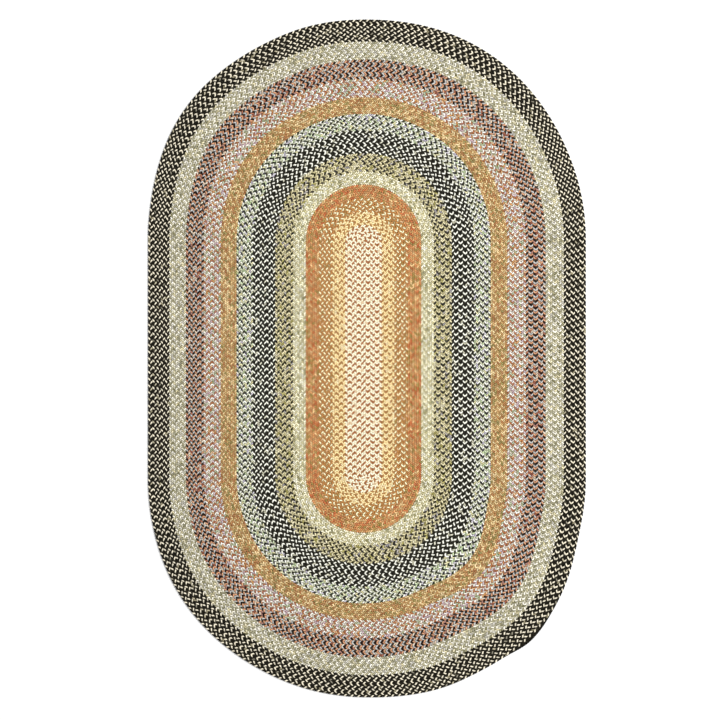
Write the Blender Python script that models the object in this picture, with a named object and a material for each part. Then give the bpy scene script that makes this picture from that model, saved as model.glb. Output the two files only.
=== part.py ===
"""An oval braided rug, lying flat.

It is made of three-strand braid about 12 mm wide, sewn edge to edge, round after round, from a
straight double row in the middle outwards. Each colour mix is one length of braid and one solid,
a flat oval band of a few rounds. The next band is sewn round it, a hair's breadth away. The last
round ends in a short tail, tapered into the rug's edge.

Metres, +Z up. The long side lies along Y, the underside on z = 0, the origin under the middle.
"""

import math

import bpy

THICKNESS = 0.007        # of the braid, and so of the rug
EDGE_CHAMFER = 0.0015    # the braid's rounded edge, at the top and at the underside
SEWN_GAP = 0.0003        # between a band and the next one

# The straight rows in the middle, from their centre to where they turn. Each round out makes
# them a little longer, and the middle of the rug sits a little left of its outline.
STRAIGHT_HALF = 0.3205
STRAIGHT_GROWTH = 0.020  # for each metre out
MIDDLE_SHIFT = -0.0100
SHIFT_HOLDS_TO = 0.330   # metres out from the middle line
SHIFT_ENDS_AT = 0.620

ARC_STEP = 0.050         # spacing of an outline's points round the turns
FEWEST_ARC_STEPS = 9

# Bands from the middle outwards: name, rounds of braid, width of one round in millimetres, and
# the colour that the strands make together.
BANDS = [
    ("band_01_ivory_rust", 4, 12.7, (0.66, 0.48, 0.32)),
    ("band_02_peach", 3, 11.8, (0.66, 0.43, 0.20)),
    ("band_03_tan_cream", 3, 12.4, (0.60, 0.38, 0.17)),
    ("band_04_rust", 3, 12.3, (0.52, 0.22, 0.08)),
    ("band_05_pale_yellow", 3, 11.9, (0.74, 0.68, 0.42)),
    ("band_06_olive_black", 4, 12.4, (0.36, 0.33, 0.17)),
    ("band_07_black_white", 5, 12.3, (0.17, 0.17, 0.13)),
    ("band_08_white_black", 4, 11.5, (0.36, 0.39, 0.32)),
    ("band_09_gold", 4, 11.3, (0.49, 0.30, 0.12)),
    ("band_10_ivory_rose", 4, 12.4, (0.58, 0.44, 0.34)),
    ("band_11_black_salmon", 4, 13.0, (0.23, 0.15, 0.12)),
    ("band_12_cream", 4, 12.2, (0.55, 0.52, 0.40)),
    ("band_13_charcoal", 5, 12.0, (0.08, 0.075, 0.05)),
]

# Where the rounds swell out of the true oval: name, direction and spread in degrees round the
# turns from +X, height in millimetres, and how far out from the middle, in millimetres, the
# swelling starts and is full.
SWELLINGS = [
    ("lower right", 322, 27, 25.0, 200, 400),
    ("upper left", 143, 32, 13.5, 330, 520),
    ("upper right", 58, 40, 9.0, 350, 600),
    ("top", 108, 26, 5.0, 400, 600),
    ("lower left", 214, 30, 5.0, 350, 600),
    ("bottom", 296, 28, 11.5, 470, 610),
]

# The tail of the last round, which lies against the rug's edge.
TAIL_WIDTH = 0.0085
TAIL_LEAVES = 327        # degrees from +X: it leaves the last round,
TAIL_FULL = 315          # is at its widest
TAIL_ENDS = 307          # and has tapered away


def ease(value, start, end):
    """0 up to start, 1 from end on, smooth between them."""
    t = min(max((value - start) / (end - start), 0.0), 1.0)
    return t * t * (3.0 - 2.0 * t)


def swelling(distance, degrees):
    """How far a round that is distance out from the middle line bulges in this direction."""
    total = 0.0
    for _, middle, spread, height, starts, full in SWELLINGS:
        off = abs(degrees - middle) / spread
        if off < 1.0:
            grown = ease(distance * 1000.0, starts, full)
            total += height / 1000.0 * grown * math.cos(off * math.pi / 2.0) ** 2
    return total


def tail(degrees):
    """How far the tail stands out from the last round."""
    if degrees > TAIL_FULL:
        return TAIL_WIDTH * (1.0 - ease(degrees, TAIL_FULL, TAIL_LEAVES))
    return TAIL_WIDTH * ease(degrees, TAIL_ENDS, TAIL_FULL)


def outline(distance, gap=0.0, with_tail=False):
    """The closed outline at this distance out from the middle line: two turns, and the straight
    sides between their ends. The gap moves it without changing its shape."""
    shift = MIDDLE_SHIFT * (1.0 - ease(distance, SHIFT_HOLDS_TO, SHIFT_ENDS_AT))
    straight = STRAIGHT_HALF + STRAIGHT_GROWTH * distance
    steps = max(FEWEST_ARC_STEPS, math.ceil(math.pi * distance / ARC_STEP))
    points = []
    for start, end_y in ((0.0, straight), (180.0, -straight)):
        for step in range(steps + 1):
            degrees = start + 180.0 * step / steps
            out = distance + gap + swelling(distance, degrees)
            if with_tail:
                out += tail(degrees)
            angle = math.radians(degrees)
            points.append((shift + out * math.cos(angle), end_y + out * math.sin(angle)))
    return points


def middle_of(points):
    """The middle of the box round these points."""
    xs = [x for x, _ in points]
    ys = [y for _, y in points]
    return (min(xs) + max(xs)) / 2.0, (min(ys) + max(ys)) / 2.0


def material(name, colour):
    made = bpy.data.materials.new(name)
    made.use_nodes = True
    shader = made.node_tree.nodes["Principled BSDF"]
    shader.inputs["Base Color"].default_value = (*colour, 1.0)
    shader.inputs["Roughness"].default_value = 0.95
    shader.inputs["Metallic"].default_value = 0.0
    made.diffuse_color = (*colour, 1.0)
    return made


def flat_band(name, loops, origin, colour, collection):
    """A flat solid between its outer outline and, but for the middle one, its inner outline."""
    curve = bpy.data.curves.new(name, "CURVE")
    curve.dimensions = "2D"
    curve.fill_mode = "BOTH"
    curve.render_resolution_u = 0
    curve.extrude = THICKNESS / 2.0 - EDGE_CHAMFER
    curve.bevel_depth = EDGE_CHAMFER
    curve.bevel_resolution = 0
    curve.offset = -EDGE_CHAMFER
    for points in loops:
        spline = curve.splines.new("POLY")
        spline.points.add(len(points) - 1)
        for point, (x, y) in zip(spline.points, points):
            point.co = (x - origin[0], y - origin[1], 0.0, 1.0)
        spline.use_cyclic_u = True
    band = bpy.data.objects.new(name, curve)
    band.location.z = THICKNESS / 2.0
    curve.materials.append(material(name, colour))
    collection.objects.link(band)
    return band


def build():
    for old in list(bpy.data.objects):
        bpy.data.objects.remove(old, do_unlink=True)
    rug = bpy.data.collections.new("braided_rug")
    bpy.context.scene.collection.children.link(rug)

    reach = sum(rounds * width for _, rounds, width, _ in BANDS) / 1000.0
    origin = middle_of(outline(reach, with_tail=True))
    distance = 0.0
    for name, rounds, width, colour in BANDS:
        loops = []
        if distance > 0.0:
            loops.append(outline(distance, SEWN_GAP / 2.0)[::-1])
        distance += rounds * width / 1000.0
        last = name == BANDS[-1][0]
        loops.append(outline(distance, 0.0 if last else -SEWN_GAP / 2.0, with_tail=last))
        flat_band(name, loops, origin, colour, rug)


build()
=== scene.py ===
"""The looks of the oval braided rug: every round of its three-strand braid, in yarn.

Each colour band of the frame is replaced by its own rounds of braid. A round is a closed tube
whose mesh follows the strands: the lines across it lie along the grooves and crests of the
strands, so each crossing of the braid is a raised lobe that dives under the next one. The yarn's
plies, fibres and flecks are in the materials.
"""

import math
from collections import namedtuple

import bpy
import numpy as np
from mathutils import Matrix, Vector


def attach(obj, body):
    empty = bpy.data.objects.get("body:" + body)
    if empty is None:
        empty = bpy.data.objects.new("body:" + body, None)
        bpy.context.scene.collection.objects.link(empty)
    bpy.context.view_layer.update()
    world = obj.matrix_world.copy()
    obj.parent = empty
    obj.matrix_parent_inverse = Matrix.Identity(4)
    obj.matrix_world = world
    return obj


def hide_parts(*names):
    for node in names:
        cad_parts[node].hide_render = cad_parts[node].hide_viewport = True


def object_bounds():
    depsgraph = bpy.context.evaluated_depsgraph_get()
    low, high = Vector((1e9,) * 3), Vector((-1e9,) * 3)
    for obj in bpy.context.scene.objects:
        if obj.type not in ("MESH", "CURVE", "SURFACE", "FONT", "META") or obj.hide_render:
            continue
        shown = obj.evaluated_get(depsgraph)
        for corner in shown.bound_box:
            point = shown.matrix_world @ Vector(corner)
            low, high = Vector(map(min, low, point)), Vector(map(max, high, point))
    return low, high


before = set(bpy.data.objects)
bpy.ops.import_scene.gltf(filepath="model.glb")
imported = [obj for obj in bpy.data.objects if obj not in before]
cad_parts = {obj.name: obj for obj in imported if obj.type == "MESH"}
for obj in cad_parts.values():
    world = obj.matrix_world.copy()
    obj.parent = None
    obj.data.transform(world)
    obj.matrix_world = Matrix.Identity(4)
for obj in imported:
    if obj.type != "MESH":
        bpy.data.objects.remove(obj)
cad_low, cad_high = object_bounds()

THICKNESS = cad_high.z - cad_low.z

# ---------------------------------------------------------------------------------------------
# The oval, as in the frame: straight rows in the middle, and turns that swell here and there.
# ---------------------------------------------------------------------------------------------

STRAIGHT_HALF = 0.3205   # half the length of the straight sides, at the middle line
STRAIGHT_GROWTH = 0.020  # how much that grows for each metre out from it
MIDDLE_SHIFT = -0.0100   # how far to the side the inner rounds lie
SHIFT_HOLDS_TO = 0.330   # out to here they lie that far over, and from the next on not at all
SHIFT_ENDS_AT = 0.620
ARC_STEP = 0.050         # between the outline's points in the frame, round the turns
LEG_END = 0.9999999      # just short of 1, so that a turn's last point still counts as on it

# Direction and spread in degrees from +X, height in millimetres, and how far out from the
# middle, in millimetres, the swelling starts and is full.
Swelling = namedtuple("Swelling", "name middle spread height starts full")
SWELLINGS = [
    Swelling("lower right", 322, 27, 25.0, 200, 400),
    Swelling("upper left", 143, 32, 13.5, 330, 520),
    Swelling("upper right", 58, 40, 9.0, 350, 600),
    Swelling("top", 108, 26, 5.0, 400, 600),
    Swelling("lower left", 214, 30, 5.0, 350, 600),
    Swelling("bottom", 296, 28, 11.5, 470, 610),
]

# The tapered end of the last round: how far it stands out, and where it is, in degrees.
TAIL_WIDTH = 0.0085
TAIL_LEAVES = 327
TAIL_FULL = 315
TAIL_ENDS = 307

# Bands from the middle outwards: name, rounds of braid, width of one round in millimetres, how
# many crossings each round lies on from the last, the three strands' colours, the colours of odd
# flecks in the yarn, their share of the crossings, how much the brightness varies from one
# crossing to the next, and the colour of the shade painted into the grooves between lobes.
Band = namedtuple("Band", "name rounds width_mm stagger strands flecks fleck_share tone tint")
BANDS = [
    Band("01_ivory_rust", 4, 12.7, 3.0, ("fffbe6", "fff7dc", "a86a3c"),
         ("f2dcb8",), 0.05, 0.05, "b8a880"),
    Band("02_peach", 3, 11.8, 2.8, ("feecb8", "f9e2a8", "ad7a42"),
         ("fff4cc",), 0.08, 0.07, "a88a58"),
    Band("03_tan_cream", 3, 12.4, 3.0, ("c79155", "bf864b", "fef8d0"),
         ("a88a4c", "d8a878"), 0.12, 0.10, "7c683c"),
    Band("04_rust", 3, 12.3, 2.2, ("cf8a58", "da9f68", "cca470"),
         ("f4d49c", "a0904e", "c8683f"), 0.30, 0.16, "7c7048"),
    Band("05_pale_yellow", 3, 11.9, 2.6, ("fffbe0", "f4eccb", "c9c090"),
         ("8e8a5c", "fffdf0"), 0.15, 0.18, "5e5a3c"),
    Band("06_olive_black", 4, 12.4, 3.0, ("ebe2b8", "c2b88c", "0f0d06"),
         ("a8a4ac", "b0a85c", "f8f0d0"), 0.15, 0.12, "4c4628"),
    Band("07_black_white", 5, 12.3, 3.0, ("13120a", "18160d", "fffff2"),
         ("d9d6bd",), 0.05, 0.08, "585440"),
    Band("08_white_black", 4, 11.5, 3.0, ("fffff4", "c8caae", "080804"),
         ("d0c8dc", "c8dca8", "f0e8b0"), 0.15, 0.10, "34342a"),
    Band("09_gold", 4, 11.3, 2.0, ("ecd09c", "caa870", "b98a58"),
         ("8f8a52", "fae4b4", "b0744a"), 0.30, 0.18, "6c6038"),
    Band("10_ivory_rose", 4, 12.4, 2.0, ("fffcf4", "d8cebe", "ac6840"),
         ("c8b0bc", "a8b890", "d8a060"), 0.25, 0.12, "4c4436"),
    Band("11_black_salmon", 4, 13.0, 2.6, ("080502", "d49c76", "c0c2c0"),
         ("a05c48", "e8d8c0"), 0.12, 0.14, "443a34"),
    Band("12_cream", 4, 12.2, 1.8, ("fffbee", "ddd8c0", "a8a280"),
         ("7c7850", "e8dcb0", "c4c0b8"), 0.20, 0.18, "545038"),
    Band("13_charcoal", 5, 12.0, 1.5, ("17140a", "1c180e", "f4ebd2"),
         ("a89f80", "4a4738"), 0.05, 0.14, "28241a"),
]


def ease(value, start, end):
    """0 up to start, 1 from end on, smooth between them."""
    t = np.clip((value - start) / (end - start), 0.0, 1.0)
    return t * t * (3.0 - 2.0 * t)


def swelling(distance, degrees):
    """How far a round that is distance out from the middle line bulges in this direction."""
    total = np.zeros(np.broadcast(distance, degrees).shape)
    for swell in SWELLINGS:
        off = np.minimum(np.abs(degrees - swell.middle) / swell.spread, 1.0)
        grown = ease(distance * 1000.0, swell.starts, swell.full)
        total += swell.height / 1000.0 * grown * np.cos(off * math.pi / 2.0) ** 2
    return total


def tail_width(degrees):
    """How far the tail stands out from the last round."""
    rising = ease(degrees, TAIL_ENDS, TAIL_FULL)
    falling = 1.0 - ease(degrees, TAIL_FULL, TAIL_LEAVES)
    return TAIL_WIDTH * rising * falling


def straight_half(distance):
    """Half the length of a round's straight sides."""
    return STRAIGHT_HALF + STRAIGHT_GROWTH * distance


def on_oval(turn, distance, with_tail=False):
    """The point at this distance from the middle line. turn runs from 0 to 4: up the right side,
    round the top, down the left side and round the bottom."""
    turn = np.mod(turn, 4.0)
    leg = np.floor(turn)
    along = turn - leg
    degrees = np.select([leg == 0, leg == 1, leg == 2], [0.0, 180.0 * along, 180.0],
                        180.0 + 180.0 * along)
    straight = straight_half(distance)
    end_y = np.select([leg == 0, leg == 1, leg == 2],
                      [straight * (2.0 * along - 1.0), straight, straight * (1.0 - 2.0 * along)],
                      -straight)
    shift = MIDDLE_SHIFT * (1.0 - ease(distance, SHIFT_HOLDS_TO, SHIFT_ENDS_AT))
    out = distance + swelling(distance, degrees)
    if with_tail:
        out = out + tail_width(degrees)
    angle = np.radians(degrees)
    return shift + out * np.cos(angle), end_y + out * np.sin(angle)


def oval_length(distance):
    """The length of one round, without its swellings."""
    return 4.0 * straight_half(distance) + 2.0 * math.pi * distance


def turn_at(run, distance):
    """The turn that a run of this many metres, from the start of the right side, comes to."""
    side = 2.0 * straight_half(distance)
    arc = math.pi * distance
    ends = np.cumsum([0.0, side, arc, side, arc])
    return np.interp(np.mod(run, ends[-1]), ends, [0.0, 1.0, 2.0, 3.0, 4.0])


def outline_middle():
    """The middle of the box round the rug's outline, which is the frame's origin."""
    turns = []
    reach = sum(band.rounds * band.width_mm for band in BANDS) / 1000.0
    steps = math.ceil(math.pi * reach / ARC_STEP)
    for leg in (1.0, 3.0):
        turns.extend(leg + step / steps * LEG_END for step in range(steps + 1))
    x, y = on_oval(np.array(turns), reach, with_tail=True)
    return (x.min() + x.max()) / 2.0, (y.min() + y.max()) / 2.0


MIDDLE_X, MIDDLE_Y = outline_middle()

# ---------------------------------------------------------------------------------------------
# The braid
# ---------------------------------------------------------------------------------------------

CROSSING = 0.00314       # from one strand's crest to the next, on the other side of the braid
BITE = 0.00030           # how far a round presses into its neighbour
SPINE_BITE = 0.00025     # how far the first round presses into itself along the middle line
STRANDS = 3
REPEAT = 2 * STRANDS     # crossings in one repeat of the braid

# Chance in the plaiting: the spread of where a round starts and of where its lobes lie, in
# crossings, and of how high they stand. A groove follows its lobe by these shares.
START_CHANCE = 0.5
LOBE_DRIFT = 0.10
LOBE_RISE = 0.022
TAIL_LOBE_RISE = 0.02
GROOVE_DRIFT_SHARE = 0.5
GROOVE_RISE_SHARE = 0.4

TAIL_BITE = 0.0008       # how far the tail presses into the last round
TAIL_THINNEST = 0.55     # its thickness at its tip, as a share of the rug's

UNEVENNESS = 0.045       # rise and fall of a rug that has been walked on, as a share of height
# Slow waves over the rug: how fast each changes along x and along y, and where it starts.
WAVES = [(5.1, 2.3, 0.4), (-3.7, 6.2, 1.9), (8.3, -7.1, 4.0), (1.9, 9.7, 2.6)]

# The lines that run along a round, from its inner edge over the top to its outer edge and back
# underneath: the side, how far out each is at a strand's crest and at a groove (as a share of
# half the braid's width), how many crossings it leads by, and its height at a crest and at a
# groove (as a share of the thickness).
Line = namedtuple("Line", "name side crest_out groove_out lead crest_height groove_height")
LINES = [
    Line("inner edge", -1, 1.02, 0.92, 0.0, 0.70, 0.44),
    Line("inner shoulder", -1, 0.80, 0.74, -0.05, 0.94, 0.62),
    Line("inner crown", -1, 0.38, 0.38, 0.66, 1.00, 0.66),
    Line("middle", 1, 0.08, -0.08, 1.5, 0.66, 0.66),
    Line("outer crown", 1, 0.38, 0.38, 0.66, 1.00, 0.66),
    Line("outer shoulder", 1, 0.80, 0.74, -0.05, 0.94, 0.62),
    Line("outer edge", 1, 1.02, 0.92, 0.0, 0.70, 0.44),
    Line("outer sole", 1, 0.66, 0.60, -0.6, 0.00, 0.06),
    Line("inner sole", -1, 0.66, 0.60, -0.6, 0.00, 0.06),
]
ROUND_LINES = len(LINES)
MIDDLE_LINE = 3
LAST_LINE = ROUND_LINES - 1
# Of the strips between one line and the next: how far along its strand each starts and ends.
STRAND_RUN = [(0.0, 0.3), (0.3, 0.62), (0.62, 1.0), (1.0, 0.62), (0.62, 0.3), (0.3, 0.0),
              (0.0, -0.35), (-0.35, -0.65), (-0.65, -1.0)]

# The baked picture has the rounds laid out in rows: where the lines lie across a row, the
# margin beside it, and a round's girth, measured over its lobes.
BAKE_ACROSS = [0.0, 0.13, 0.26, 0.39, 0.52, 0.65, 0.78, 0.85, 0.92, 1.0]
BAKE_MARGIN = 0.02
ROUND_GIRTH = 0.032


def even_side(line):
    """Whether this line, or the strip after it, has its crests at the even crossings."""
    return line < MIDDLE_LINE or line == LAST_LINE


def on_crest_of(line, crossing):
    """Which of these crossings are crests on this line."""
    return crossing % 2 == (0 if even_side(line) else 1)


def lobe_of(strip, crossing):
    """The crossing with the crest of the lobe that lies between this crossing and the next."""
    return crossing + (crossing % 2 == (1 if even_side(strip) else 0))


def uneven(x, y):
    """The slow rise and fall of a rug that people have walked on, from -1 to 1."""
    return sum(np.sin(a * x + b * y + c) for a, b, c in WAVES) / len(WAVES)


class Tube:
    """One round of braid: its points, by crossing and line. A plain one has a single strand's
    colour throughout."""

    def __init__(self, count, closed, plain=False):
        self.count = count
        self.closed = closed
        self.plain = plain
        self.cells = count if closed else count - 1
        self.points = np.zeros((count, ROUND_LINES, 3))


def braid_round(rng, distance, width, ahead):
    """A closed round whose middle is this far out from the rug's middle line. ahead says how many
    crossings it lies on, at the middle of the right side: where two rounds are half a repeat
    apart, strands of one colour meet across the seam in pairs. The turns shift this by chance."""
    length = oval_length(distance)
    count = REPEAT * round(length / (REPEAT * CROSSING))
    pitch = length / count
    start = straight_half(distance) + (ahead + rng.normal(0.0, START_CHANCE)) * pitch
    slip = rng.uniform(-0.5, 0.5) * REPEAT * pitch
    tube = Tube(count, closed=True)
    crossing = np.arange(count)
    half = width / 2.0 + BITE
    lobe_rise = rng.normal(0.0, LOBE_RISE, count)
    lobe_drift = rng.normal(0.0, LOBE_DRIFT, count)
    for index, line in enumerate(LINES):
        on_crest = on_crest_of(index, crossing)
        out = np.where(on_crest, line.crest_out, line.groove_out) * line.side * half
        rise = np.where(on_crest, lobe_rise, GROOVE_RISE_SHARE * lobe_rise)
        height = np.where(on_crest, line.crest_height, line.groove_height) * (1.0 + rise)
        drift = np.where(on_crest, lobe_drift, GROOVE_DRIFT_SHARE * lobe_drift)
        run = start + (crossing + line.lead + drift) * pitch
        run = run + slip * np.sin(math.pi * np.mod(run, length) / length) ** 2
        away = np.maximum(distance + out, -SPINE_BITE)
        x, y = on_oval(turn_at(run, distance), away)
        x, y = x - MIDDLE_X, y - MIDDLE_Y
        z = height * THICKNESS * (1.0 + UNEVENNESS * uneven(x, y))
        tube.points[:, index] = np.stack([x, y, z], axis=1)
    return tube


def braid_tail(rng, reach):
    """The short tapered end of the last round, against the rug's edge."""
    length = math.radians(TAIL_LEAVES - TAIL_ENDS) * reach
    steps = REPEAT * round(length / (REPEAT * CROSSING))
    tube = Tube(steps + 1, closed=False, plain=True)
    crossing = np.arange(tube.count)
    lobe_rise = rng.normal(0.0, TAIL_LOBE_RISE, tube.count)
    for index, line in enumerate(LINES):
        on_crest = on_crest_of(index, crossing)
        share = np.clip((crossing + line.lead) / steps, 0.0, 1.0)
        degrees = TAIL_ENDS + (TAIL_LEAVES - TAIL_ENDS) * share
        full = tail_width(degrees)
        half = full / 2.0 + TAIL_BITE
        out = np.where(on_crest, line.crest_out, line.groove_out) * line.side * half
        height = np.where(on_crest, line.crest_height, line.groove_height) * (1.0 + lobe_rise)
        swell = TAIL_THINNEST + (1.0 - TAIL_THINNEST) * full / TAIL_WIDTH
        turn = 3.0 + (degrees - 180.0) / 180.0
        x, y = on_oval(turn, reach + full / 2.0 + out)
        x, y = x - MIDDLE_X, y - MIDDLE_Y
        tube.points[:, index] = np.stack([x, y, height * swell * THICKNESS], axis=1)
    return tube


# ---------------------------------------------------------------------------------------------
# The mesh of a band's rounds
# ---------------------------------------------------------------------------------------------


def strip_quads(tube, strip, first):
    """The corners of a strip's quads, where the tube's first point is number first."""
    here = np.arange(tube.cells) * ROUND_LINES
    there = (np.arange(tube.cells) + 1) % tube.count * ROUND_LINES
    beyond = (strip + 1) % ROUND_LINES
    return first + np.stack([here + strip, here + beyond, there + beyond, there + strip], axis=1)


def strand_of(strip, lobe, plain):
    """Which of the strands each lobe is."""
    if plain:
        return np.zeros_like(lobe)
    if even_side(strip):
        return (lobe // 2) % STRANDS
    return ((lobe - STRANDS) // 2) % STRANDS


def yarn_corners(strip, cell, lobe):
    """The yarn's own coordinates at each quad's corners: along the strand, and across it from
    -1 to 1 with its crest at 0."""
    begin = np.full(len(cell), STRAND_RUN[strip][0])
    end = np.full(len(cell), STRAND_RUN[strip][1])
    back = (cell - lobe).astype(float)
    front = (cell + 1 - lobe).astype(float)
    return np.stack([begin, back, end, back, end, front, begin, front], axis=1)


def bake_corners(strip, place, rows, per_row):
    """Where each quad's corners lie in the baked picture."""
    row, spot = place // per_row, place % per_row
    share = 1.0 - 2.0 * BAKE_MARGIN
    low = (row + BAKE_MARGIN + share * BAKE_ACROSS[strip]) / rows
    high = (row + BAKE_MARGIN + share * BAKE_ACROSS[strip + 1]) / rows
    left, right = spot / per_row, (spot + 1) / per_row
    return np.stack([left, low, left, high, right, high, right, low], axis=1)


def raw_mesh(name, tubes, quads, caps):
    """A mesh of these quads, and of the caps on open ends."""
    verts = np.concatenate([tube.points.reshape(-1, 3) for tube in tubes])
    corners = np.concatenate([quads.ravel()] + caps)
    sizes = np.array([4] * len(quads) + [ROUND_LINES] * len(caps))
    starts = np.concatenate([[0], np.cumsum(sizes)[:-1]])
    mesh = bpy.data.meshes.new(name)
    mesh.vertices.add(len(verts))
    mesh.vertices.foreach_set("co", verts.astype(np.float32).ravel())
    mesh.loops.add(len(corners))
    mesh.loops.foreach_set("vertex_index", corners.astype(np.int32))
    mesh.polygons.add(len(sizes))
    mesh.polygons.foreach_set("loop_start", starts.astype(np.int32))
    mesh.update(calc_edges=True)
    return mesh


def mark_grooves(mesh, tubes):
    """Makes the edges sharp in the grooves between lobes, and where lobes dive at the middle."""
    line_of = np.concatenate([np.tile(np.arange(ROUND_LINES), tube.count) for tube in tubes])
    crossing_of = np.concatenate([np.repeat(np.arange(tube.count), ROUND_LINES) for tube in tubes])
    ends = np.zeros(len(mesh.edges) * 2, dtype=np.int32)
    mesh.edges.foreach_get("vertices", ends)
    one, other = ends[0::2], ends[1::2]
    across = line_of[one] != line_of[other]
    low_line = np.minimum(line_of[one], line_of[other])
    high_line = np.maximum(line_of[one], line_of[other])
    inner = (high_line <= MIDDLE_LINE) | ((low_line == 0) & (high_line == LAST_LINE))
    groove = across & (crossing_of[one] % 2 == np.where(inner, 1, 0))
    tucked = ~across & (line_of[one] == MIDDLE_LINE)
    made = mesh.attributes.new("sharp_edge", "BOOLEAN", "EDGE")
    made.data.foreach_set("value", groove | tucked)


def tubes_mesh(name, tubes, rng):
    """One mesh of these rounds, with each quad's strand, its lot (a chance number that a lobe's
    quads share), the yarn's own coordinates and its place in the baked picture."""
    total = sum(tube.cells for tube in tubes)
    rows = max(1, round(math.sqrt(total * CROSSING / ROUND_GIRTH)))
    per_row = math.ceil(total / rows)

    quads, caps, strand, lot, yarn_uv, bake_uv = [], [], [], [], [], []
    first, done = 0, 0
    for tube in tubes:
        cell = np.arange(tube.cells)
        even_lots = rng.random(tube.count + 2)
        odd_lots = rng.random(tube.count + 2)
        for strip in range(ROUND_LINES):
            lobe = lobe_of(strip, cell)
            lots = even_lots if even_side(strip) else odd_lots
            quads.append(strip_quads(tube, strip, first))
            strand.append(strand_of(strip, lobe, tube.plain))
            lot.append(lots[lobe % tube.count])
            yarn_uv.append(yarn_corners(strip, cell, lobe))
            bake_uv.append(bake_corners(strip, done + cell, rows, per_row))
        if not tube.closed:
            ring = first + np.arange(ROUND_LINES)
            caps.append(ring)
            caps.append((ring + (tube.count - 1) * ROUND_LINES)[::-1])
        first += tube.count * ROUND_LINES
        done += tube.cells

    mesh = raw_mesh(name, tubes, np.concatenate(quads), caps)
    cap_faces = np.zeros(len(caps))
    cap_corners = np.zeros(2 * len(caps) * ROUND_LINES)
    for layer, values in (("strand", strand), ("lot", lot)):
        made = mesh.attributes.new(layer, "FLOAT", "FACE")
        made.data.foreach_set("value", np.concatenate(values + [cap_faces]).astype(np.float32))
    for layer, values in (("OFBake", bake_uv), ("Yarn", yarn_uv)):
        made = mesh.uv_layers.new(name=layer)
        flat = np.concatenate([np.concatenate(values).ravel(), cap_corners])
        made.data.foreach_set("uv", flat.astype(np.float32))
    mark_grooves(mesh, tubes)
    mesh.validate()
    return mesh


# ---------------------------------------------------------------------------------------------
# Yarn
# ---------------------------------------------------------------------------------------------


def colour(code):
    """The scene colour of six hex digits."""
    parts = [int(code[i:i + 2], 16) / 255.0 for i in (0, 2, 4)]
    return tuple(c / 12.92 if c <= 0.04045 else ((c + 0.055) / 1.055) ** 2.4 for c in parts)


class Nodes:
    """A short hand for building one material's nodes."""

    def __init__(self, material):
        material.use_nodes = True
        self.tree = material.node_tree
        self.shader = self.tree.nodes["Principled BSDF"]

    def add(self, kind, **settings):
        node = self.tree.nodes.new(kind)
        for key, value in settings.items():
            setattr(node, key, value)
        return node

    def put(self, socket, value):
        if isinstance(value, bpy.types.NodeSocket):
            self.tree.links.new(value, socket)
        else:
            socket.default_value = value

    def math(self, operation, *values):
        node = self.add("ShaderNodeMath", operation=operation)
        for socket, value in zip(node.inputs, values):
            self.put(socket, value)
        return node.outputs[0]

    def attribute(self, name):
        return self.add("ShaderNodeAttribute", attribute_name=name).outputs["Fac"]

    def choice(self, value, colours):
        """One of the colours, by a value from 0 to 1."""
        node = self.add("ShaderNodeValToRGB")
        node.color_ramp.interpolation = "CONSTANT"
        stops = node.color_ramp.elements
        for place, shade in enumerate(colours):
            spot = place / len(colours)
            stop = stops[place] if place < len(stops) else stops.new(spot)
            stop.position = spot
            stop.color = (*shade, 1.0)
        while len(stops) > len(colours):
            stops.remove(stops[-1])
        self.put(node.inputs["Fac"], value)
        return node.outputs["Color"]

    def mix(self, blend, amount, under, over):
        """Mixes two colours. The mix node's colour sockets are its sixth and seventh inputs and
        its second output, counted from 0."""
        node = self.add("ShaderNodeMix", data_type="RGBA", blend_type=blend)
        self.put(node.inputs["Factor"], amount)
        self.put(node.inputs[6], under)
        self.put(node.inputs[7], over)
        return node.outputs[2]

    def smooth(self, value, low, high, to_low, to_high):
        """Goes smoothly from to_low to to_high as the value goes from low to high."""
        node = self.add("ShaderNodeMapRange", interpolation_type="SMOOTHSTEP")
        for socket, number in zip(node.inputs, (value, low, high, to_low, to_high)):
            self.put(socket, number)
        return node.outputs["Result"]

    def vector(self, x, y, z):
        node = self.add("ShaderNodeCombineXYZ")
        for socket, value in zip(node.inputs, (x, y, z)):
            self.put(socket, value)
        return node.outputs["Vector"]

    def noise(self, vector, scale, detail):
        node = self.add("ShaderNodeTexNoise")
        self.put(node.inputs["Vector"], vector)
        self.put(node.inputs["Scale"], scale)
        self.put(node.inputs["Detail"], detail)
        return node.outputs["Fac"]

    def random(self, value, salt):
        """A chance number from 0 to 1 for each value, different for each salt."""
        node = self.add("ShaderNodeTexWhiteNoise", noise_dimensions="1D")
        self.put(node.inputs["W"], self.math("MULTIPLY", value, salt))
        return node.outputs["Value"]


PLIES = 2.5              # yarn plies across half a strand
PLY_LEAD = 1.3           # plies that wind past along one lobe
PLY_DEPTH = 0.00022
PLY_SHADE = 0.90         # painted shade: the brightness between two plies
FIBRES_ALONG = 2.2       # how fine the fibres are along a strand and across it
FIBRES_ACROSS = 9.0
FIBRE_SCALE = 1.6
FIBRE_DETAIL = 3.0
LOT_APART = 53.0         # sets lobes apart in the noise, so that each has fibres of its own
STREAK_DARK = 0.90       # brightness of the darkest and the lightest fibres
STREAK_LIGHT = 1.08
PLY_SEAM = 0.55          # how far out of the seam between two plies its shade reaches
FLECK_STRENGTH = 0.75    # of the fleck's colour in a lobe that has it
TWEED_STRENGTH = 0.8     # the most that flecks show within other lobes
TWEED_SCALE = 0.9
TWEED_DETAIL = 1.0
TWEED_FROM = 0.52        # noise below this shows no fleck, and noise above the next the most
TWEED_TO = 0.66
FLECK_COLOUR_SALT = 91.7
FLECK_SALT = 37.3
TONE_SALT = 13.9
GROOVE_SHADE_POWER = 2.5       # how sharply the painted shade grows towards a lobe's grooves, and towards its ends
END_SHADE_POWER = 8.0
END_SHADE_STRENGTH = 0.6       # strength of the painted shade at a lobe's ends, next to 1 in the grooves beside it
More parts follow.
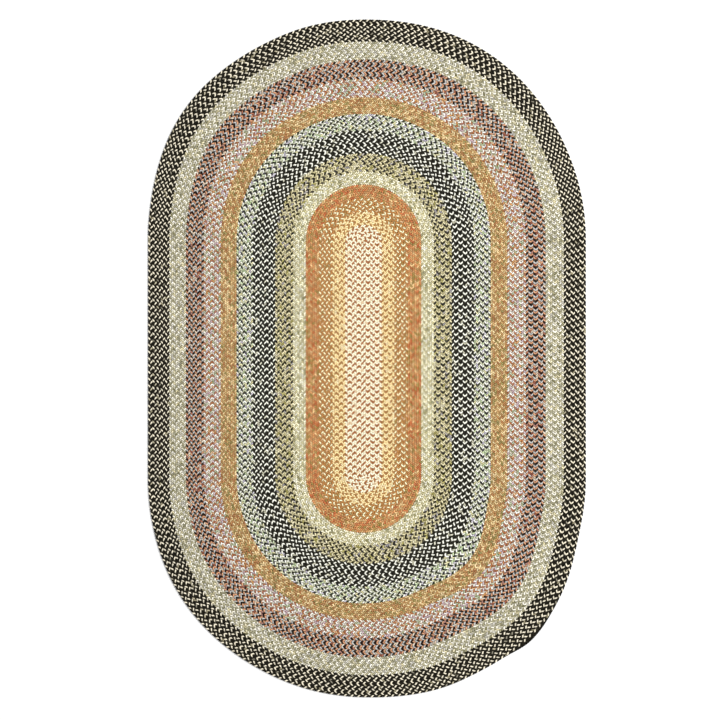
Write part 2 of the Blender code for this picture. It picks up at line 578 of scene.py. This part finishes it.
GROOVE_SHADE_STARTS = 0.15     # the mask value at which the painted groove shade starts, and at which it is full
GROOVE_SHADE_FULL = 0.85
FIBRE_HEIGHT = 0.5       # of the fibres, next to 1 for a ply
PLY_ROUNDNESS = 0.6
BUMP_STRENGTH = 0.8
ROUGHNESS_LOW = 0.82
ROUGHNESS_HIGH = 0.96
SPECULAR = 0.12
SHEEN = 0.04
SHEEN_ROUGHNESS = 0.5


def painted_groove_shade(n, along, across):
    """How much painted shade darkens the yarn: most in the grooves beside a lobe, and some where
    its ends dive under the next.
    """
    end = n.math("ABSOLUTE", n.math("MULTIPLY_ADD", n.math("FRACT", along), 2.0, -1.0))
    dive = n.math("MULTIPLY", n.math("POWER", end, END_SHADE_POWER), END_SHADE_STRENGTH)
    beside = n.math("POWER", n.math("ABSOLUTE", across), GROOVE_SHADE_POWER)
    return n.smooth(n.math("ADD", beside, dive), GROOVE_SHADE_STARTS, GROOVE_SHADE_FULL, 0.0, 1.0)


def yarn(band):
    """The band's three strands of plied yarn, with a few odd-coloured flecks, and shade painted
    into the grooves between lobes and the seams between plies.
    """
    material = bpy.data.materials.new("yarn_" + band.name)
    n = Nodes(material)
    lot = n.attribute("lot")
    split = n.add("ShaderNodeSeparateXYZ")
    n.put(split.inputs[0], n.add("ShaderNodeUVMap", uv_map="Yarn").outputs["UV"])
    along, across = split.outputs[0], split.outputs[1]

    # The plies wind along the strand, and fibres streak them.
    wound = n.math("ADD", n.math("MULTIPLY", across, PLIES), n.math("MULTIPLY", along, PLY_LEAD))
    ply = n.math("ABSOLUTE", n.math("SINE", n.math("MULTIPLY", wound, math.pi)))
    spot = n.vector(n.math("MULTIPLY", along, FIBRES_ALONG),
                    n.math("MULTIPLY", across, FIBRES_ACROSS),
                    n.math("MULTIPLY", lot, LOT_APART))
    fibre = n.noise(spot, FIBRE_SCALE, FIBRE_DETAIL)

    # Plain strands, some of their crossings and fibres in a fleck's colour.
    strand = n.math("MULTIPLY_ADD", n.attribute("strand"), 1.0 / STRANDS, 0.5 / STRANDS)
    base = n.choice(strand, [colour(code) for code in band.strands])
    odd = n.choice(n.random(lot, FLECK_COLOUR_SALT), [colour(code) for code in band.flecks])
    picked = n.math("GREATER_THAN", n.random(lot, FLECK_SALT), 1.0 - band.fleck_share)
    base = n.mix("MIX", n.math("MULTIPLY", picked, FLECK_STRENGTH), base, odd)
    most = min(2.0 * band.fleck_share, TWEED_STRENGTH)
    patch = n.noise(spot, TWEED_SCALE, TWEED_DETAIL)
    tweed = n.smooth(patch, TWEED_FROM, TWEED_TO, 0.0, most)
    base = n.mix("MIX", tweed, base, odd)

    # Brightness: at random from one crossing to the next and between fibres, and painted shade
    # between the plies and in the grooves.
    lift = n.smooth(n.random(lot, TONE_SALT), 0.0, 1.0, 1.0 - band.tone, 1.0 + band.tone)
    streak = n.smooth(fibre, 0.25, 0.75, STREAK_DARK, STREAK_LIGHT)
    # Painted shade in the seams between plies.
    seam = n.smooth(ply, 0.0, PLY_SEAM, PLY_SHADE, 1.0)
    shade = n.math("MULTIPLY", lift, n.math("MULTIPLY", streak, seam))
    base = n.mix("MULTIPLY", 1.0, base, n.vector(shade, shade, shade))
    # Painted shade: the yarn darkens towards the band's shade colour in the grooves between lobes
    # and where their ends dive under the next.
    groove = painted_groove_shade(n, along, across)
    base = n.mix("MULTIPLY", groove, base, (*colour(band.tint), 1.0))
    n.put(n.shader.inputs["Base Color"], base)

    bump = n.add("ShaderNodeBump")
    height = n.math("MULTIPLY_ADD", fibre, FIBRE_HEIGHT, n.math("POWER", ply, PLY_ROUNDNESS))
    n.put(bump.inputs["Height"], height)
    bump.inputs["Distance"].default_value = PLY_DEPTH
    bump.inputs["Strength"].default_value = BUMP_STRENGTH
    n.put(n.shader.inputs["Normal"], bump.outputs["Normal"])
    roughness = n.smooth(fibre, 0.2, 0.8, ROUGHNESS_LOW, ROUGHNESS_HIGH)
    n.put(n.shader.inputs["Roughness"], roughness)
    n.shader.inputs["Specular IOR Level"].default_value = SPECULAR
    n.shader.inputs["Sheen Weight"].default_value = SHEEN
    n.shader.inputs["Sheen Roughness"].default_value = SHEEN_ROUGHNESS
    return material


# ---------------------------------------------------------------------------------------------
# The rug
# ---------------------------------------------------------------------------------------------

FIRST_SEED = 100


def build_rug():
    """Every band's rounds of braid, from the middle out, and the tail on the last."""
    distance = 0.0
    ahead = 0.0
    for index, band in enumerate(BANDS):
        rng = np.random.default_rng(FIRST_SEED + index)
        width = band.width_mm / 1000.0
        tubes = [braid_round(rng, distance + (turn + 0.5) * width, width,
                             ahead + turn * band.stagger)
                 for turn in range(band.rounds)]
        ahead += band.rounds * band.stagger
        reach = distance + band.rounds * width
        if band is BANDS[-1]:
            tubes.append(braid_tail(rng, reach))
        mesh = tubes_mesh("braid_" + band.name, tubes, rng)
        mesh.materials.append(yarn(band))
        piece = bpy.data.objects.new("braid_" + band.name, mesh)
        bpy.context.scene.collection.objects.link(piece)
        node = "band_" + band.name
        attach(piece, "root")
        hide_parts(node)
        distance = reach


# ---------------------------------------------------------------------------------------------
# Floor, light and camera
# ---------------------------------------------------------------------------------------------

VIEW_WIDTH = 2.001       # metres of floor across the picture
VIEW_CENTRE = (-0.0195, -0.0044)
LENS = 85.0
SENSOR = 36.0

FLOOR_SIZE = 12.0
FLOOR_DROP = 0.0002      # below the rug's underside
FLOOR_WHITE = 0.93
FLOOR_ROUGHNESS = 0.9

# The key is a square area lamp, up on the right: metres and watts.
SKY_STRENGTH = 0.66
KEY_PLACE = (3.2, 1.2, 5.0)
KEY_SIZE = 3.0
KEY_POWER = 330.0


def build_floor():
    """A plain white floor."""
    bpy.ops.mesh.primitive_plane_add(size=FLOOR_SIZE, location=(0.0, 0.0, -FLOOR_DROP))
    floor = bpy.context.object
    floor.name = "floor"
    material = bpy.data.materials.new("floor")
    material.use_nodes = True
    shader = material.node_tree.nodes["Principled BSDF"]
    shader.inputs["Base Color"].default_value = (FLOOR_WHITE, FLOOR_WHITE, FLOOR_WHITE, 1.0)
    shader.inputs["Roughness"].default_value = FLOOR_ROUGHNESS
    floor.data.materials.append(material)


def build_light():
    """An even white sky and one large soft lamp."""
    world = bpy.data.worlds.new("studio")
    world.use_nodes = True
    background = world.node_tree.nodes["Background"]
    background.inputs["Color"].default_value = (1.0, 1.0, 1.0, 1.0)
    background.inputs["Strength"].default_value = SKY_STRENGTH
    bpy.context.scene.world = world
    data = bpy.data.lights.new("key", "AREA")
    data.shape = "SQUARE"
    data.size = KEY_SIZE
    data.energy = KEY_POWER
    key = bpy.data.objects.new("key", data)
    key.location = KEY_PLACE
    key.rotation_mode = "QUATERNION"
    key.rotation_quaternion = (-key.location).to_track_quat("-Z", "Y")
    bpy.context.scene.collection.objects.link(key)
    bpy.context.scene.view_settings.view_transform = "Standard"


def build_camera():
    """Straight down on the rug, a little off its middle."""
    data = bpy.data.cameras.new("camera")
    data.lens = LENS
    data.sensor_width = SENSOR
    camera = bpy.data.objects.new("camera", data)
    away = VIEW_WIDTH / 2.0 * LENS / (SENSOR / 2.0)
    camera.location = (VIEW_CENTRE[0], VIEW_CENTRE[1], THICKNESS + away)
    bpy.context.scene.collection.objects.link(camera)
    bpy.context.scene.camera = camera


build_camera()
build_rug()
build_floor()
build_light()
